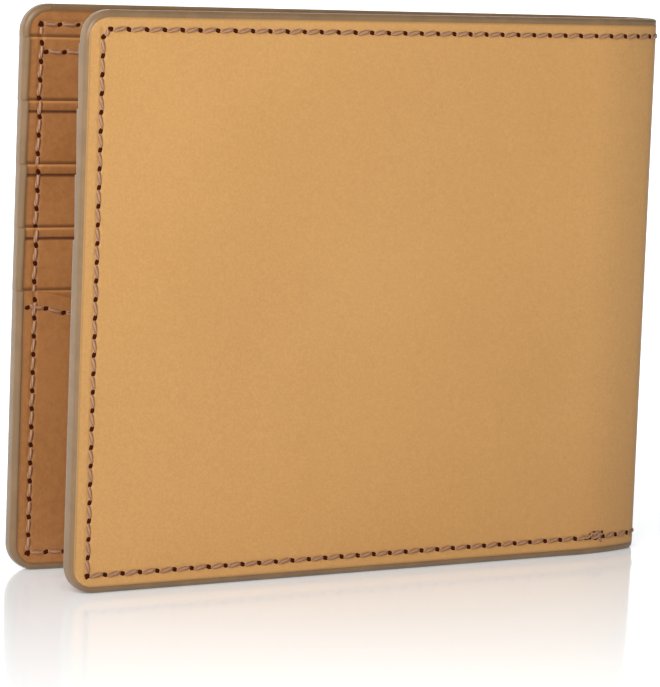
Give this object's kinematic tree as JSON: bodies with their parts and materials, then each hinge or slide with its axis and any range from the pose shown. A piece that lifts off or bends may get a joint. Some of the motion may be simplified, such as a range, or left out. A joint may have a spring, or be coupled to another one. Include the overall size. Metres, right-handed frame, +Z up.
{
  "type": "bifold wallet",
  "caption": "Leather bifold wallet with a banknote compartment, shingled card pockets and painted, stitched edges, opening flat about a soft spine.",
  "frame": {"origin": "centre of the bounding box in plan, on the surface that the wallet's long bottom edge stands on", "axes": "+X along the length from the free edges to the fold, +Y through the thickness from the front panel to the rear panel, +Z up along the height"},
  "size_m": [0.112, 0.0246, 0.09],
  "materials": {
    "outer_leather": "smooth, softly waxed",
    "inner_leather": "smooth, matt",
    "painted_edge": "satin edge paint",
    "thread": "waxed twisted thread",
    "lining_cloth": "fine weave",
    "stiffener_board": "plain board"
  },
  "bodies": {
    "front_panel": {"front_cover": "outer_leather", "front_board": "stiffener_board", "front_lining": "lining_cloth", "front_divider": "inner_leather", "front_edge_paint": "painted_edge", "front_cover_top_paint": "painted_edge", "front_divider_top_paint": "painted_edge", "front_top_band": "inner_leather", "front_card_pocket_1": "inner_leather", "front_card_pocket_2": "inner_leather", "front_card_pocket_3": "inner_leather", "front_lower_pocket": "inner_leather", "front_outer_thread": "thread", "front_inner_thread": "thread", "front_slot_thread": "thread"},
    "spine": {"spine_cover": "outer_leather", "spine_lining": "lining_cloth", "spine_divider": "inner_leather", "spine_bottom_paint": "painted_edge", "spine_cover_top_paint": "painted_edge", "spine_divider_top_paint": "painted_edge", "spine_top_thread": "thread", "spine_bottom_thread": "thread", "spine_thread_knot": "thread"},
    "rear_panel": {"rear_cover": "outer_leather", "rear_board": "stiffener_board", "rear_lining": "lining_cloth", "rear_divider": "inner_leather", "rear_edge_paint": "painted_edge", "rear_cover_top_paint": "painted_edge", "rear_divider_top_paint": "painted_edge", "rear_top_band": "inner_leather", "rear_card_pocket_1": "inner_leather", "rear_card_pocket_2": "inner_leather", "rear_card_pocket_3": "inner_leather", "rear_card_pocket_4": "inner_leather", "rear_slant_pocket": "inner_leather", "rear_outer_thread": "thread", "rear_inner_thread": "thread", "rear_slot_thread": "thread", "rear_slant_thread": "thread"}
  },
  "joints": [
    {"name": "fold_front", "type": "hinge", "parent": "front_panel", "child": "spine", "pos_m": [0.05424, -0.00479, 0], "axis": [0, 0, -1], "range_deg": [-4.6, 87], "deforming": ["spine_cover", "spine_lining", "spine_divider", "spine_bottom_paint", "spine_cover_top_paint", "spine_divider_top_paint", "spine_top_thread", "spine_bottom_thread", "spine_thread_knot"]},
    {"name": "fold_rear", "type": "hinge", "parent": "spine", "child": "rear_panel", "pos_m": [0.05424, 0.00479, 0], "axis": [0, 0, -1], "range_deg": [-4.6, 87]}
  ],
  "couplings": [
    {"joint": "fold_rear", "follows": "fold_front", "ratio": 1}
  ]
}
